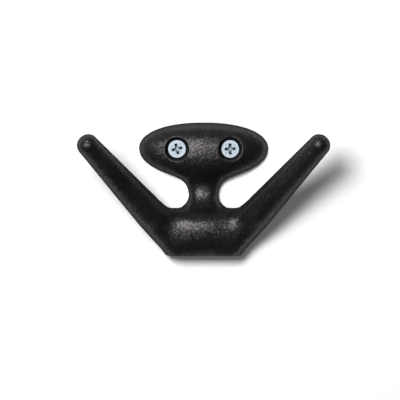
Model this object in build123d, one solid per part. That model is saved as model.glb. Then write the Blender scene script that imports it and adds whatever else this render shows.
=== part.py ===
from build123d import *
import math
import os

# Twin-horn wall hook. Millimetres. +X right, +Z up, the front looks along -Y.
# The back lies on the wall plane y = 0, and the origin is midway between the two screws.
# A section of the bar is a row of nine numbers, in this order:
# x, depth off the wall, z, turn of the section, lean, inner reach, outer reach, half depth, fullness.
# Depths are positive forwards. The reaches run from the section's centre in the front view,
# inner towards the notch and outer away from it. A fullness of 2 is an ellipse, and more is squarer.

# Head pad, seen from the front
HEAD_HALF_WIDTH = 29.15
HEAD_TOP = 11.75
HEAD_POWER = 2.2
HEAD_DEPTH = 11.8
HEAD_CREST_Z = -2.4
HEAD_FULLNESS = 2.25
HEAD_PLAN_FULLNESS = 2.0
HEAD_SLICES = 8
HEAD_SLICE_TURN = 12.2

# Head underside and neck: (height, half width, depth off the wall, fullness).
# The neck flares at its foot along the round bottoms of the two notches.
NECK_KEYS = [
    (-40.0, 9.0, 12.4, 2.3),
    (-34.0, 10.0, 12.8, 2.3),
    (-30.0, 10.8, 12.2, 2.4),
    (-28.0, 10.9, 11.2, 2.5),
    (-26.8, 10.3, 10.2, 2.6),
    (-25.2, 8.5, 9.0, 2.7),
    (-23.4, 7.2, 7.8, 2.7),
    (-21.2, 6.7, 6.85, 2.7),
    (-18.6, 7.05, 6.4, 2.6),
    (-16.2, 8.15, 6.65, 2.5),
    (-14.2, 10.1, 7.4, 2.45),
    (-12.5, 13.5, 8.45, 2.4),
    (-10.8, 17.9, 9.5, 2.3),
    (-9.0, 21.9, 10.35, 2.2),
    (-6.6, 25.6, 11.15, 2.1),
    (-3.6, 28.2, 11.7, 2.05),
]
NECK_START = -40.0
NECK_STEP = 1.3
NECK_STEPS = 29
SLICE_POINTS = 20

# Horns: straight tapered round bars, each with a domed tip
HORN_START = Vector(11.3, -3.8, -43.35)
HORN_END = Vector(51.7, -35.45, 2.8)
HORN_START_R = 8.15
HORN_END_R = 4.95
CAP_LENGTH = 4.6
CAP_STEPS = 6
CAP_STEP_TURN = 13.8

# Barrel between the horns and the bend into a horn: rows of the bar, right side
BARREL_KEYS = [
    (0.0, 5.0, -35.1, 90.0, 0.0, 8.4, 15.4, 12.0, 2.2),
    (6.0, 5.0, -35.1, 87.5, 0.0, 8.4, 15.6, 11.65, 2.2),
    (11.0, 5.4, -34.9, 81.0, 2.0, 8.35, 16.2, 10.65, 2.2),
    (15.5, 6.9, -34.0, 70.0, 5.5, 7.85, 11.55, 9.3, 2.15),
    (19.5, 9.7, -32.0, 57.0, 12.0, 6.85, 8.8, 7.85, 2.1),
]
BEND_END_SHARES = [0.33, 0.37, 0.41]
BAR_STEPS = 11
STEPS_PAST_MIDDLE = 4
SECTION_POINTS = 16

# Flat bottom and blends
BOTTOM_Z = -48.2
BOTTOM_R = 0.9
NECK_BLEND_R = 5.5
NECK_JOINT_LOW = -33.0
NECK_JOINT_HIGH = -24.0
NECK_JOINT_FRONT = -8.0
BOTTOM_EDGE_FRONT = -0.5
CUTTER = 300.0
CLOSE = 0.01

# Screws and their holes
SCREW_X = 12.0
BORE_R = 5.35
BORE_FLOOR = -7.55
BORE_LENGTH = 30.0
BORE_RIM_R = 0.4
HOLE_R = 2.6
HOLE_LENGTH = 40.0
HEAD_R = 3.95
HEAD_RIM = 0.3
HEAD_FACE = -6.5
SHANK_R = 1.4
SHANK_END = -8.0
THREAD_R = 2.0
CORE_R = 1.25
SHANK_NECK = 0.3
THREAD_ROOT = 0.42
THREAD_CREST = 0.06
THREAD_SUNK = 0.12
THREAD_PITCH = 1.8
THREAD_END = -26.4
SCREW_LENGTH = 30.0
POINT_R = 0.12

# Cross recess in a screw head
RECESS_SPAN = 5.2
RECESS_WIDTH = 1.4
RECESS_DEPTH = 2.3
RECESS_FLOOR_SPAN = 2.6
RECESS_FLOOR_WIDTH = 0.95
HEART_SIDE = 2.3
HEART_DEPTH = 1.9
TICK_INNER = 1.9
TICK_OUTER = 3.1
TICK_WIDTH = 0.28
TICK_DEPTH = 0.14
OVERCUT = 0.2
SCREWS = {"screw_left": (-SCREW_X, 14.0), "screw_right": (SCREW_X, 2.0)}

RUN = HORN_END - HORN_START
HORN_TURN = math.degrees(math.atan2(RUN.X, RUN.Z))
HORN_LEAN = math.degrees(math.atan2(-RUN.Y, math.hypot(RUN.X, RUN.Z)))


def signed_power(value, power):
    return math.copysign(abs(value) ** power, value)


def smooth_row(keys, stops, at):
    """The row at one distance, on a smooth curve through the key rows."""
    i = 0
    while i < len(stops) - 2 and at > stops[i + 1]:
        i += 1
    span = stops[i + 1] - stops[i]
    t = (at - stops[i]) / span
    row = []
    for column in range(len(keys[0])):
        values = [key[column] for key in keys]
        slopes = []
        for k in (i, i + 1):
            low = max(k - 1, 0)
            high = min(k + 1, len(keys) - 1)
            slopes.append((values[high] - values[low]) / (stops[high] - stops[low]))
        start = (2 * t**3 - 3 * t**2 + 1) * values[i] + (t**3 - 2 * t**2 + t) * span * slopes[0]
        end = (3 * t**2 - 2 * t**3) * values[i + 1] + (t**3 - t**2) * span * slopes[1]
        row.append(start + end)
    return tuple(row)


def section(row, side):
    """One closed cross-section of the bar, on the right (side 1) or the left (side -1)."""
    x, depth, z, turned, lean, inner, outer, half_depth, power = row
    turned = math.radians(turned)
    lean = math.radians(lean)
    across = Vector(math.cos(turned), 0, -math.sin(turned))
    rootward = Vector(-math.sin(turned), 0, -math.cos(turned))
    ahead = Vector(0, -math.cos(lean), 0) + rootward * math.sin(lean)
    points = []
    for step in range(SECTION_POINTS):
        turn = 2 * math.pi * step / SECTION_POINTS - math.pi / 2
        reach = outer if math.cos(turn) > 0 else inner
        u = reach * signed_power(math.cos(turn), 2 / power)
        v = half_depth * signed_power(math.sin(turn), 2 / power)
        point = Vector(x, -depth, z) + across * u + ahead * v
        points.append(Vector(side * point.X, point.Y, point.Z))
    return Wire([Edge.make_spline(points, periodic=True)])


def mirror_row(row):
    return (-row[0], row[1], row[2], 180 - row[3]) + row[4:]


def horn_row(share, radius, past=0.0):
    """A round section at a share of the horn's length, or past it by a distance along the axis."""
    spot = HORN_START + RUN * share + RUN.normalized() * past
    return (spot.X, -spot.Y, spot.Z, HORN_TURN, HORN_LEAN, radius, radius, radius, 2.0)


def horn_radius(share):
    return HORN_START_R + (HORN_END_R - HORN_START_R) * share


def make_half_bar():
    """The left half of the barrel with its bend, horn and tip."""
    right_keys = BARREL_KEYS + [horn_row(share, horn_radius(share)) for share in BEND_END_SHARES]
    stops = [0.0]
    for low, high in zip(right_keys, right_keys[1:]):
        stops.append(stops[-1] + math.dist(low[:3], high[:3]))
    length = stops[-1]
    keys = [mirror_row(row) for row in reversed(right_keys[1:])] + right_keys
    stops = [-stop for stop in reversed(stops[1:])] + stops
    rows = [smooth_row(keys, stops, length * step / BAR_STEPS) for step in range(BAR_STEPS + 1)]
    # The loft runs a little past the middle, so that it crosses the middle square on.
    wires = [section(row, -1) for row in reversed(rows[1:])]
    wires += [section(row, 1) for row in rows[: STEPS_PAST_MIDDLE + 1]]
    barrel = Part(Solid.make_loft(wires).wrapped)
    end = section(horn_row(1.0, HORN_END_R), -1)
    shaft = Part(Solid.make_loft([wires[0], end], True).wrapped)
    cap_wires = [end]
    for step in range(1, CAP_STEPS + 1):
        turn = math.radians(CAP_STEP_TURN * step)
        row = horn_row(1.0, HORN_END_R * math.cos(turn), CAP_LENGTH * math.sin(turn))
        cap_wires.append(section(row, -1))
    cap = Part(Solid.make_loft(cap_wires).wrapped)
    behind = Pos(0, CUTTER / 2, 0) * Box(CUTTER, CUTTER, CUTTER)
    under = Pos(0, 0, BOTTOM_Z - CUTTER / 2) * Box(CUTTER, CUTTER, CUTTER)
    beyond = Pos(CUTTER / 2, 0, 0) * Box(CUTTER, CUTTER, CUTTER)
    return (barrel - behind - under - beyond) + (shaft + cap)


def slice_at(height, half_width, depth, power):
    """One level cross-section of the head and neck, as deep behind the wall plane as before it."""
    points = []
    for step in range(SLICE_POINTS):
        turn = 2 * math.pi * step / SLICE_POINTS + math.pi / 2
        x = half_width * signed_power(math.cos(turn), 2 / power)
        y = depth * signed_power(math.sin(turn), 2 / power)
        points.append(Vector(x, y, height))
    return Wire([Edge.make_spline(points, periodic=True)])


def make_column():
    """The neck and the head."""
    head_rows = []
    for step in range(HEAD_SLICES):
        turn = math.radians(HEAD_SLICE_TURN * step)
        height = HEAD_TOP * math.sin(turn) ** (2 / HEAD_POWER)
        width = HEAD_HALF_WIDTH * math.cos(turn) ** (2 / HEAD_POWER)
        above = (height - HEAD_CREST_Z) / (HEAD_TOP - HEAD_CREST_Z)
        depth = HEAD_DEPTH * (1 - above**HEAD_FULLNESS) ** (1 / HEAD_FULLNESS)
        head_rows.append((height, width, depth, HEAD_PLAN_FULLNESS))
    keys = NECK_KEYS + head_rows
    stops = [row[0] for row in keys]
    slices = []
    for step in range(NECK_STEPS + 1):
        slices.append(slice_at(*smooth_row(keys, stops, NECK_START + NECK_STEP * step)))
    slices += [slice_at(*row) for row in head_rows]
    behind = Pos(0, CUTTER / 2, 0) * Box(CUTTER, CUTTER, CUTTER)
    return Part(Solid.make_loft(slices).wrapped) - behind


def into_wall(shape, x, y):
    """A shape whose +Z is turned to face out of the wall, with its origin at x and y."""
    return Pos(x, y, 0) * Rot(90, 0, 0) * shape


def make_body():
    half = make_half_bar()
    body = half + mirror(half, Plane.YZ) + make_column()
    joint = []
    for edge in body.edges():
        box = edge.bounding_box()
        level = NECK_JOINT_LOW < box.min.Z and box.max.Z < NECK_JOINT_HIGH
        if level and box.min.Y < NECK_JOINT_FRONT:
            joint.append(edge)
    body = fillet(joint, NECK_BLEND_R)
    bottom = []
    for edge in body.edges():
        box = edge.bounding_box()
        if abs(box.max.Z - BOTTOM_Z) < CLOSE and box.min.Y < BOTTOM_EDGE_FRONT:
            bottom.append(edge)
    body = fillet(bottom, BOTTOM_R)
    seat_depth = BORE_R - HOLE_R
    for x, turned in SCREWS.values():
        body -= into_wall(Pos(0, 0, BORE_LENGTH / 2) * Cylinder(BORE_R, BORE_LENGTH), x, BORE_FLOOR)
        seat = Cone(HOLE_R, BORE_R, seat_depth)
        body -= into_wall(Pos(0, 0, -seat_depth / 2) * seat, x, BORE_FLOOR)
        body -= into_wall(Cylinder(HOLE_R, HOLE_LENGTH), x, BORE_FLOOR)
    rims = []
    for edge in body.edges():
        box = edge.bounding_box()
        round_a_bore = abs(box.center().Z) < CLOSE and abs(abs(box.center().X) - SCREW_X) < BORE_RIM_R
        if round_a_bore and box.size.Z > BORE_R and box.max.Y < BORE_FLOOR - BORE_RIM_R:
            rims.append(edge)
    return fillet(rims, BORE_RIM_R)


def make_screw(turned):
    """A countersunk wood screw that points along -Z, with its head's face at z = 0."""
    cone_end = -HEAD_RIM - (HEAD_R - SHANK_R)
    profile = [
        (0, 0),
        (HEAD_R, 0),
        (HEAD_R, -HEAD_RIM),
        (SHANK_R, cone_end),
        (SHANK_R, SHANK_END),
        (CORE_R, SHANK_END - SHANK_NECK),
        (CORE_R, THREAD_END),
        (POINT_R, -SCREW_LENGTH),
        (0, -SCREW_LENGTH),
    ]
    outline = Wire.make_polygon([(x, 0, z) for x, z in profile], close=True)
    screw = revolve(Face(outline), Axis.Z, 360)
    turns_length = SHANK_END - SHANK_NECK - THREAD_END - 2 * THREAD_ROOT
    helix = Edge.make_helix(THREAD_PITCH, turns_length, CORE_R)
    ridge = Polygon(
        (-THREAD_SUNK, -THREAD_ROOT),
        (-THREAD_SUNK, THREAD_ROOT),
        (THREAD_R - CORE_R, THREAD_CREST),
        (THREAD_R - CORE_R, -THREAD_CREST),
        align=None,
    )
    start = Plane(origin=helix.position_at(0), x_dir=(1, 0, 0), z_dir=helix.tangent_at(0))
    thread = sweep((start * ridge).face(), path=Wire([helix]), is_frenet=True)
    screw += Pos(0, 0, THREAD_END + THREAD_ROOT) * thread
    for turn in (0, 90):
        top = Plane.XY.offset(OVERCUT) * Rectangle(RECESS_SPAN, RECESS_WIDTH)
        floor = Plane.XY.offset(-RECESS_DEPTH) * Rectangle(RECESS_FLOOR_SPAN, RECESS_FLOOR_WIDTH)
        screw -= Rot(0, 0, turn) * loft([top.face(), floor.face()])
    heart = Box(HEART_SIDE, HEART_SIDE, HEART_DEPTH + OVERCUT)
    screw -= Rot(0, 0, 45) * (Pos(0, 0, (OVERCUT - HEART_DEPTH) / 2) * heart)
    tick = Box(TICK_OUTER - TICK_INNER, TICK_WIDTH, 2 * TICK_DEPTH)
    for turn in (45, 135, 225, 315):
        screw -= Rot(0, 0, turn) * Pos((TICK_INNER + TICK_OUTER) / 2, 0, 0) * tick
    return Rot(0, 0, turned) * screw


os.makedirs("parts", exist_ok=True)
export_step(make_body(), "parts/hook_body.step")
for name, (x, turned) in SCREWS.items():
    export_step(into_wall(make_screw(turned), x, HEAD_FACE), "parts/" + name + ".step")
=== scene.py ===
import math

import bpy
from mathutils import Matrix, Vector


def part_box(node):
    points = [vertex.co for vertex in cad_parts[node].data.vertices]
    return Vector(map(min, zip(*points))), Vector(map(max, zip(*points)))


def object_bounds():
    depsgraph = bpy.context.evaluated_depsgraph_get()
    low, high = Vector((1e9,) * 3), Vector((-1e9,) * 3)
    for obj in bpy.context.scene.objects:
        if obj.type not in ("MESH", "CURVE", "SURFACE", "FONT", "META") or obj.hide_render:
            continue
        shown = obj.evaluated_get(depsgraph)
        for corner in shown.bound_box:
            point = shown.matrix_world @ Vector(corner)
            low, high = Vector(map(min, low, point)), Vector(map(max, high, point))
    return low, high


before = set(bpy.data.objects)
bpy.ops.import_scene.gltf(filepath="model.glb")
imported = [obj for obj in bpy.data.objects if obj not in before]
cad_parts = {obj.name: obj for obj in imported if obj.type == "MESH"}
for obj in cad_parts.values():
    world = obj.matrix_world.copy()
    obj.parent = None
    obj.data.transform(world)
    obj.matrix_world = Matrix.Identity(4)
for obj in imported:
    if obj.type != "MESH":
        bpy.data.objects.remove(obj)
cad_low, cad_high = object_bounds()

# Lengths are in metres, apart from the sensor's, which is in millimetres.
# The wall plane is y = 0 and the front looks along -Y.
FRAME_WIDTH = 0.180
FOCUS_DEPTH = 0.015
AIM = Vector((-0.0016, -FOCUS_DEPTH, -0.0227))
CAMERA_ELEVATION = math.radians(2.5)
CAMERA_DISTANCE = 2.5
CAMERA_REACH = 50.0
SENSOR = 36.0

# One square soft light, up and to the left of the camera
KEY_LEFT = math.radians(16.0)
KEY_UP = math.radians(17.5)
KEY_DISTANCE = 1.3
KEY_SIDE = 0.42
KEY_POWER = 20.5

# The room is dim in front and bright behind. The camera sees plain white past the wall.
WORLD_TURN = (0.1, 0.5)
WORLD_STRENGTH = (0.07, 0.9)
WORLD_SEEN = 1.3

# The wall glows faintly near the hook, and more far away from it.
WALL_REACH = 4.0
WALL_GAP = 0.0002
WALL_WHITE = (0.9, 0.9, 0.9, 1)
WALL_GLOW_SPAN = (0.14, 0.5)
WALL_GLOW = (0.08, 0.85)
WALL_CLEAR_WITHIN = 3 * WALL_GAP
WHITE = (1, 1, 1, 1)

# The middle part of a noise texture's values, which is carried to one of the two ranges below it
NARROW = (0.35, 0.65)
WIDE = (0.3, 0.7)
FULL = (0.0, 1.0)
INVERSE = (1.0, 0.0)

EDGE_SAMPLES = 6
OPEN_SAMPLES = 8
HALF = (0.5, 0.5, 0.5)

# In both finishes a noise texture has three numbers: its scale per metre, detail and roughness.
# Coating
COAT_DARK = (0.0016, 0.0014, 0.0015)
COAT_PALE = (0.0034, 0.0030, 0.0032)
COAT_DEEP = (0.0006, 0.0005, 0.0006)
# Paler edge colour: partly wear and partly a painted highlight on the sharp rims
COAT_WORN_HIGHLIGHT = (0.24, 0.236, 0.236)
COAT_TINT = (1.0, 0.94, 1.0, 1.0)
COAT_IOR = 1.5
COAT_MOTTLE_NOISE = (90.0, 3.0, 0.6)
COAT_PEBBLE_SCALE = 2000.0
COAT_PEBBLE_NOISE = (COAT_PEBBLE_SCALE, 2.0, 0.55)
COAT_SPECK_NOISE = (4600.0, 1.0, 0.5)
COAT_WEAR_HIGHLIGHT_NOISE = (700.0, 4.0, 0.7)
COAT_WEAR_HIGHLIGHT_WIDTH = 0.0006
COAT_WEAR_HIGHLIGHT_BEND = (0.9, 0.995)
COAT_WEAR_HIGHLIGHT_PATCHES = (0.42, 0.6)
COAT_VALLEYS = (0.3, 0.5)
COAT_VALLEY_SHARE = (0.6, 0.0)
COAT_PEBBLE_LEAN = 0.27
COAT_PEBBLE_HEIGHT = 0.00004
COAT_SPECK_HEIGHT = 0.00001
COAT_ROUGH = (0.38, 0.46)
COAT_SPECK_ROUGH = (-0.04, 0.04)
COAT_SIDE_SPAN = (0.4, 0.85)
COAT_SIDE_ROUGH = (0.0, 0.5)
COAT_GLOSS_SPAN = (0.35, 0.8)
COAT_GLOSS = (0.5, 0.1)

# Zinc
ZINC_BLUE = (0.29, 0.355, 0.425)
ZINC_PALE = (0.45, 0.49, 0.52)
# Painted shade: the dark blue the zinc's colour turns to inside its recesses
ZINC_RECESS_SHADE = (0.035, 0.065, 0.095)
ZINC_RING_SCALE = 5200.0
ZINC_RING_DETAIL = 2.0
ZINC_BLOTCH_NOISE = (620.0, 4.0, 0.6)
ZINC_GRAIN_NOISE = (5000.0, 2.0, 0.6)
ZINC_RING_HEIGHT = 0.00002
ZINC_GRAIN_HEIGHT = 0.00002
ZINC_RECESS_SHADE_REACH = 0.0016
ZINC_RECESS_SHADE_SPAN = (0.35, 0.88)
ZINC_EDGE_WIDTH = 0.0002
ZINC_EDGE_BEND = (0.85, 0.99)
ZINC_EDGE_POLISH = 0.08
ZINC_ROUGH = (0.52, 0.62)


def look_from(obj, spot, target):
    obj.location = spot
    obj.rotation_mode = "QUATERNION"
    obj.rotation_quaternion = (target - spot).to_track_quat("-Z", "Y")


def make_camera():
    data = bpy.data.cameras.new("camera")
    data.sensor_width = SENSOR
    data.lens = SENSOR * CAMERA_DISTANCE / FRAME_WIDTH
    data.clip_end = CAMERA_REACH
    camera = bpy.data.objects.new("camera", data)
    bpy.context.scene.collection.objects.link(camera)
    back = Vector((0, -math.cos(CAMERA_ELEVATION), math.sin(CAMERA_ELEVATION)))
    look_from(camera, AIM + back * CAMERA_DISTANCE, AIM)
    bpy.context.scene.camera = camera


def make_light():
    data = bpy.data.lights.new("key", "AREA")
    data.shape = "SQUARE"
    data.size = KEY_SIDE
    data.energy = KEY_POWER
    light = bpy.data.objects.new("key", data)
    bpy.context.scene.collection.objects.link(light)
    centre = (cad_low + cad_high) / 2
    toward = Vector((-math.tan(KEY_LEFT), -1, math.tan(KEY_UP))).normalized()
    look_from(light, centre + toward * KEY_DISTANCE, centre)
    light.visible_camera = False


def add_node(tree, kind, inputs=(), **settings):
    """A shader node with its settings and input values."""
    node = tree.nodes.new(kind)
    for name, value in settings.items():
        setattr(node, name, value)
    for socket, value in dict(inputs).items():
        node.inputs[socket].default_value = value
    return node


def noise(tree, vector, scale, detail, roughness):
    values = {"Scale": scale, "Detail": detail, "Roughness": roughness}
    node = add_node(tree, "ShaderNodeTexNoise", values)
    tree.links.new(vector, node.inputs["Vector"])
    return node.outputs[0]


def remap(tree, value, span, target, **settings):
    """A value carried from one range to another, and held inside it."""
    ranges = {"From Min": span[0], "From Max": span[1], "To Min": target[0], "To Max": target[1]}
    node = add_node(tree, "ShaderNodeMapRange", ranges, **settings)
    tree.links.new(value, node.inputs["Value"])
    return node.outputs["Result"]


def math_node(tree, operation, first, second=None):
    node = add_node(tree, "ShaderNodeMath", operation=operation)
    for socket, value in zip(node.inputs, (first, second)):
        if isinstance(value, bpy.types.NodeSocket):
            tree.links.new(value, socket)
        elif value is not None:
            socket.default_value = value
    return node.outputs[0]


def mix_colour(tree, share, first, second):
    """A blend of two colours. Each is a socket or a plain colour."""
    node = add_node(tree, "ShaderNodeMix", data_type="RGBA")
    tree.links.new(share, node.inputs[0])
    for socket, value in ((node.inputs[6], first), (node.inputs[7], second)):
        if isinstance(value, bpy.types.NodeSocket):
            tree.links.new(value, socket)
        else:
            socket.default_value = (*value, 1)
    return node.outputs[2]


def mix_shaders(tree, share, first, second, output):
    """The first shader where share is 0 and the second where it is 1, sent to an output node."""
    mix = add_node(tree, "ShaderNodeMixShader")
    for socket, value in zip(mix.inputs, (share, first.outputs[0], second.outputs[0])):
        tree.links.new(value, socket)
    tree.links.new(mix.outputs[0], add_node(tree, output).inputs["Surface"])


def bump(tree, height, distance, normal=None):
    node = add_node(tree, "ShaderNodeBump", {"Distance": distance})
    tree.links.new(height, node.inputs["Height"])
    if normal:
        tree.links.new(normal, node.inputs["Normal"])
    return node.outputs[0]


def pebbled_normal(tree, spot, scale, lean, height):
    """A skin of small domes, each leaning its own way."""
    links = tree.links
    cells = add_node(tree, "ShaderNodeTexVoronoi", {"Scale": scale})
    links.new(spot, cells.inputs["Vector"])
    domes = bump(tree, math_node(tree, "MULTIPLY", cells.outputs["Distance"], -1.0), height)
    middle = add_node(tree, "ShaderNodeVectorMath", {1: HALF}, operation="SUBTRACT")
    links.new(cells.outputs["Color"], middle.inputs[0])
    tilt = add_node(tree, "ShaderNodeVectorMath", {"Scale": lean}, operation="SCALE")
    links.new(middle.outputs[0], tilt.inputs[0])
    tipped = add_node(tree, "ShaderNodeVectorMath", operation="ADD")
    links.new(domes, tipped.inputs[0])
    links.new(tilt.outputs[0], tipped.inputs[1])
    whole = add_node(tree, "ShaderNodeVectorMath", operation="NORMALIZE")
    links.new(tipped.outputs[0], whole.inputs[0])
    return whole.outputs[0]


def edge_share(tree, radius, bend):
    """Near 1 on sharp outer and inner edges, and 0 where the surface is smooth."""
    rounded = add_node(tree, "ShaderNodeBevel", {"Radius": radius}, samples=EDGE_SAMPLES)
    real = add_node(tree, "ShaderNodeNewGeometry")
    product = add_node(tree, "ShaderNodeVectorMath", operation="DOT_PRODUCT")
    tree.links.new(rounded.outputs[0], product.inputs[0])
    tree.links.new(real.outputs["Normal"], product.inputs[1])
    return remap(tree, product.outputs["Value"], bend, INVERSE)


def openness(tree, distance):
    """1 in the open, and less deep inside a hole or recess."""
    node = add_node(tree, "ShaderNodeAmbientOcclusion", {"Distance": distance}, samples=OPEN_SAMPLES)
    return node.outputs["AO"]


def make_world():
    world = bpy.data.worlds.new("studio")
    bpy.context.scene.world = world
    world.use_nodes = True
    tree = world.node_tree
    tree.nodes.clear()
    coords = add_node(tree, "ShaderNodeTexCoord")
    split = add_node(tree, "ShaderNodeSeparateXYZ")
    tree.links.new(coords.outputs["Generated"], split.inputs[0])
    lit = add_node(tree, "ShaderNodeBackground")
    strength = remap(tree, split.outputs["Y"], WORLD_TURN, WORLD_STRENGTH)
    tree.links.new(strength, lit.inputs["Strength"])
    shown = add_node(tree, "ShaderNodeBackground", {"Strength": WORLD_SEEN})
    seen = add_node(tree, "ShaderNodeLightPath").outputs["Is Camera Ray"]
    mix_shaders(tree, seen, lit, shown, "ShaderNodeOutputWorld")


def wall_material():
    """White paint with a glow. It is see-through from behind and from very close."""
    material = bpy.data.materials.new("wall_white")
    material.use_nodes = True
    tree = material.node_tree
    links = tree.links
    tree.nodes.clear()
    paint = {
        "Base Color": WALL_WHITE,
        "Roughness": 1.0,
        "Specular IOR Level": 0.0,
        "Emission Color": WHITE,
    }
    white = add_node(tree, "ShaderNodeBsdfPrincipled", paint)
    coords = add_node(tree, "ShaderNodeTexCoord")
    reach = add_node(tree, "ShaderNodeVectorMath", operation="LENGTH")
    links.new(coords.outputs["Object"], reach.inputs[0])
    smooth = {"interpolation_type": "SMOOTHSTEP"}
    glow = remap(tree, reach.outputs["Value"], WALL_GLOW_SPAN, WALL_GLOW, **smooth)
    links.new(glow, white.inputs["Emission Strength"])
    clear = add_node(tree, "ShaderNodeBsdfTransparent")
    back = add_node(tree, "ShaderNodeNewGeometry").outputs["Backfacing"]
    length = add_node(tree, "ShaderNodeLightPath").outputs["Ray Length"]
    near = math_node(tree, "LESS_THAN", length, WALL_CLEAR_WITHIN)
    hidden = math_node(tree, "MAXIMUM", near, back)
    mix_shaders(tree, hidden, white, clear, "ShaderNodeOutputMaterial")
    return material


def make_wall():
    """A pale wall just behind the back plane."""
    signs = ((-1, -1), (1, -1), (1, 1), (-1, 1))
    corners = [(across * WALL_REACH, WALL_GAP, up * WALL_REACH) for across, up in signs]
    mesh = bpy.data.meshes.new("wall")
    mesh.from_pydata(corners, [], [(0, 1, 2, 3)])
    mesh.materials.append(wall_material())
    wall = bpy.data.objects.new("wall", mesh)
    bpy.context.scene.collection.objects.link(wall)


def new_material(name):
    """A material, its node tree, its shader, and the object's own coordinates."""
    material = bpy.data.materials.new(name)
    material.use_nodes = True
    tree = material.node_tree
    coords = add_node(tree, "ShaderNodeTexCoord")
    return material, tree, tree.nodes["Principled BSDF"], coords.outputs["Object"]


def coating_material():
    """Black powder coat: a fine pebbled skin, a little mottled, and paler on its edges, partly from
    wear and partly as a painted highlight.
    """
    material, tree, shader, spot = new_material("black_texture_coat")
    links = tree.links
    shader.inputs["IOR"].default_value = COAT_IOR
    shader.inputs["Specular Tint"].default_value = COAT_TINT

    mottle = noise(tree, spot, *COAT_MOTTLE_NOISE)
    pebbles = noise(tree, spot, *COAT_PEBBLE_NOISE)
    specks = noise(tree, spot, *COAT_SPECK_NOISE)
    wear_highlight_patches = noise(tree, spot, *COAT_WEAR_HIGHLIGHT_NOISE)

    colour = mix_colour(tree, remap(tree, mottle, NARROW, FULL), COAT_DARK, COAT_PALE)
    valleys = remap(tree, pebbles, COAT_VALLEYS, COAT_VALLEY_SHARE)
    colour = mix_colour(tree, valleys, colour, COAT_DEEP)
    # Sharp edges turn paler in patches: partly wear and partly a painted highlight on the hole rims.
    edge = edge_share(tree, COAT_WEAR_HIGHLIGHT_WIDTH, COAT_WEAR_HIGHLIGHT_BEND)
    worn_and_highlit = math_node(tree, "MULTIPLY", edge, remap(tree, wear_highlight_patches, COAT_WEAR_HIGHLIGHT_PATCHES, FULL))
    links.new(mix_colour(tree, worn_and_highlit, colour, COAT_WORN_HIGHLIGHT), shader.inputs["Base Color"])

    # At a slant the coat is rougher and less glossy.
    slant = add_node(tree, "ShaderNodeLayerWeight").outputs["Facing"]
    rough = remap(tree, mottle, WIDE, COAT_ROUGH)
    rough = math_node(tree, "ADD", rough, remap(tree, specks, WIDE, COAT_SPECK_ROUGH))
    rough = math_node(tree, "ADD", rough, remap(tree, slant, COAT_SIDE_SPAN, COAT_SIDE_ROUGH))
    links.new(rough, shader.inputs["Roughness"])
    gloss = remap(tree, slant, COAT_GLOSS_SPAN, COAT_GLOSS)
    links.new(gloss, shader.inputs["Specular IOR Level"])

    normal = pebbled_normal(tree, spot, COAT_PEBBLE_SCALE, COAT_PEBBLE_LEAN, COAT_PEBBLE_HEIGHT)
    links.new(bump(tree, specks, COAT_SPECK_HEIGHT, normal), shader.inputs["Normal"])
    return material


def zinc_material():
    """Bright zinc with a blue cast: turned rings on the heads, blotches, and painted shade in the
    recess.
    """
    material, tree, shader, spot = new_material("bright_zinc")
    links = tree.links
    shader.inputs["Metallic"].default_value = 1.0

    # The rings run round each screw's own axis. The two axes mirror each other in x = 0.
    parts = add_node(tree, "ShaderNodeSeparateXYZ")
    links.new(spot, parts.inputs[0])
    side = math_node(tree, "ABSOLUTE", parts.outputs["X"])
    screw_low, screw_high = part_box("screw_right")
    across = math_node(tree, "SUBTRACT", side, (screw_low[0] + screw_high[0]) / 2)
    squares = math_node(tree, "MULTIPLY", across, across)
    heights = math_node(tree, "MULTIPLY", parts.outputs["Z"], parts.outputs["Z"])
    radius = math_node(tree, "SQRT", math_node(tree, "ADD", squares, heights))
    ring_values = {"Scale": ZINC_RING_SCALE, "Detail": ZINC_RING_DETAIL}
    rings = add_node(tree, "ShaderNodeTexNoise", ring_values, noise_dimensions="1D")
    links.new(radius, rings.inputs["W"])

    blotches = noise(tree, spot, *ZINC_BLOTCH_NOISE)
    colour = mix_colour(tree, remap(tree, blotches, NARROW, FULL), ZINC_BLUE, ZINC_PALE)
    # Painted shade: the base colour darkens toward dark blue where ambient occlusion finds the zinc
    # enclosed, as in the cross recess.
    shade = remap(tree, openness(tree, ZINC_RECESS_SHADE_REACH), ZINC_RECESS_SHADE_SPAN, INVERSE)
    links.new(mix_colour(tree, shade, colour, ZINC_RECESS_SHADE), shader.inputs["Base Color"])

    edge = edge_share(tree, ZINC_EDGE_WIDTH, ZINC_EDGE_BEND)
    rough = remap(tree, blotches, WIDE, ZINC_ROUGH)
    polish = math_node(tree, "MULTIPLY", edge, ZINC_EDGE_POLISH)
    links.new(math_node(tree, "SUBTRACT", rough, polish), shader.inputs["Roughness"])

    grain = noise(tree, spot, *ZINC_GRAIN_NOISE)
    turned = bump(tree, rings.outputs[0], ZINC_RING_HEIGHT)
    links.new(bump(tree, grain, ZINC_GRAIN_HEIGHT, turned), shader.inputs["Normal"])
    return material


def dress(material, *nodes):
    for node in nodes:
        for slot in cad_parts[node].material_slots:
            slot.material = material


dress(coating_material(), "hook_body")
dress(zinc_material(), "screw_left", "screw_right")

make_camera()
make_light()
make_world()
make_wall()
bpy.context.scene.view_settings.view_transform = "Standard"
